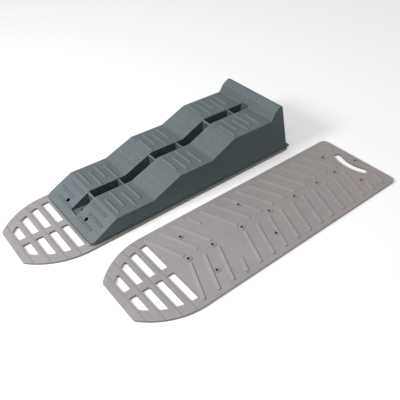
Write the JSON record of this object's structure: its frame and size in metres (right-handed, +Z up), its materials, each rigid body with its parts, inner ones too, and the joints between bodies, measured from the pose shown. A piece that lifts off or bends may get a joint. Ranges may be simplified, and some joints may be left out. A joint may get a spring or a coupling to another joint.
{
  "type": "ramp leveler",
  "caption": "Three-stage wheel levelling ramp with an end stop, standing on a slotted anti-slip plate, and a matching loose plate beside it.",
  "frame": {"origin": "on the floor, in the middle of the ground that the three pieces cover together", "axes": "+Z up from the floor, +Y along the plates from their slotted tips to their backs, +X from the ramp towards the loose plate"},
  "size_m": [0.496, 0.833, 0.1357],
  "materials": {
    "ramp_plastic": "slate blue-grey moulded polyethylene, fine matt texture",
    "plate_plastic": "light warm grey moulded polyethylene, fine matt texture"
  },
  "bodies": {
    "ramp_plate": {"plate_under_ramp": "plate_plastic"},
    "ramp": {"ramp": "ramp_plastic"},
    "loose_plate": {"loose_plate": "plate_plastic"}
  },
  "joints": [
    {"name": "ramp_lift_off", "type": "slide", "parent": "ramp_plate", "child": "ramp", "axis": [0, 0, 1], "range_m": [0, 0.2]},
    {"name": "loose_plate_lift_off", "type": "slide", "parent": "ramp_plate", "child": "loose_plate", "axis": [0, 0, 1], "range_m": [0, 0.2]}
  ]
}
